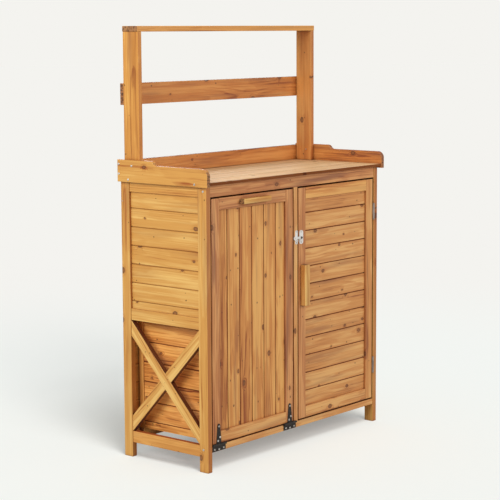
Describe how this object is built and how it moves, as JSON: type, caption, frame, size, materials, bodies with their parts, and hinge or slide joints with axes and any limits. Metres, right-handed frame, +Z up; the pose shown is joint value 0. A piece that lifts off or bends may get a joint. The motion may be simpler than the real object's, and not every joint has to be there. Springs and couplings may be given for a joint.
{
  "type": "potting bench",
  "caption": "Wooden potting bench: cupboard with a drop-down door and a hinged door, worktop with a low gallery, open rack above and an open side niche with an X brace.",
  "frame": {"origin": "on the floor, under the middle of the bench's outline", "axes": "+Z up, +Y towards the back, +X to the right as seen from the front"},
  "size_m": [0.9408, 0.384, 1.4],
  "materials": {
    "frame_wood": "satin varnish",
    "panel_wood": "satin varnish",
    "worktop_wood": "satin varnish",
    "black_steel": "black powder coat",
    "zinc_steel": "bright zinc",
    "screw_steel": "zinc",
    "catch_plastic": "matte"
  },
  "bodies": {
    "bench": {"apron": "frame_wood", "back_board": "frame_wood", "bench_screws": "screw_steel", "brace_halves": "frame_wood", "brace_long": "frame_wood", "butt_hinge_frame_leaves": "zinc_steel", "centre_stile": "frame_wood", "cross_slat": "frame_wood", "floor_boards": "panel_wood", "floor_cleats": "frame_wood", "front_bottom_rail": "frame_wood", "hinge_pins": "black_steel", "latch_keeper": "zinc_steel", "left_bottom_rail": "frame_wood", "left_middle_rail": "frame_wood", "left_panel_slats": "panel_wood", "left_top_rail": "frame_wood", "leg_front_left": "frame_wood", "leg_front_right": "frame_wood", "leg_rear_left": "frame_wood", "leg_rear_right": "frame_wood", "magnetic_catch": "catch_plastic", "niche_stiles": "frame_wood", "niche_top_board": "panel_wood", "niche_wall_boards": "panel_wood", "post_left": "frame_wood", "post_right": "frame_wood", "rear_bottom_rail": "frame_wood", "rear_centre_stile": "frame_wood", "rear_panel_slats": "panel_wood", "rear_top_rail": "frame_wood", "right_bottom_rail": "frame_wood", "right_middle_rail": "frame_wood", "right_panel_slats": "panel_wood", "right_top_rail": "frame_wood", "side_board_left": "frame_wood", "side_board_right": "frame_wood", "t_hinge_plates": "black_steel", "table_top": "worktop_wood", "top_board": "frame_wood"},
    "left_door": {"left_door_bottom_rail": "frame_wood", "left_door_handle": "frame_wood", "left_door_left_stile": "frame_wood", "left_door_right_stile": "frame_wood", "left_door_screws": "screw_steel", "left_door_slats": "panel_wood", "left_door_top_rail": "frame_wood", "t_hinge_straps": "black_steel", "strike_plate": "zinc_steel"},
    "right_door": {"right_door_bottom_rail": "frame_wood", "right_door_handle": "frame_wood", "right_door_left_stile": "frame_wood", "right_door_right_stile": "frame_wood", "right_door_screws": "screw_steel", "right_door_slats": "panel_wood", "right_door_top_rail": "frame_wood", "butt_hinge_door_leaves": "zinc_steel", "latch_plate": "zinc_steel", "latch_rivet": "zinc_steel"},
    "latch_lever": {"latch_lever": "zinc_steel"}
  },
  "joints": [
    {"name": "left_door_hinge", "type": "hinge", "parent": "bench", "child": "left_door", "pos_m": [-0.221, -0.1763, 0.085], "axis": [1, 0, 0], "range_deg": [0, 95]},
    {"name": "right_door_hinge", "type": "hinge", "parent": "bench", "child": "right_door", "pos_m": [0.4305, -0.1758, 0.4805], "axis": [0, 0, 1], "range_deg": [0, 170]},
    {"name": "latch_turn", "type": "hinge", "parent": "right_door", "child": "latch_lever", "pos_m": [0.02, -0.175, 0.703], "axis": [0, 1, 0], "range_deg": [0, 90]}
  ]
}
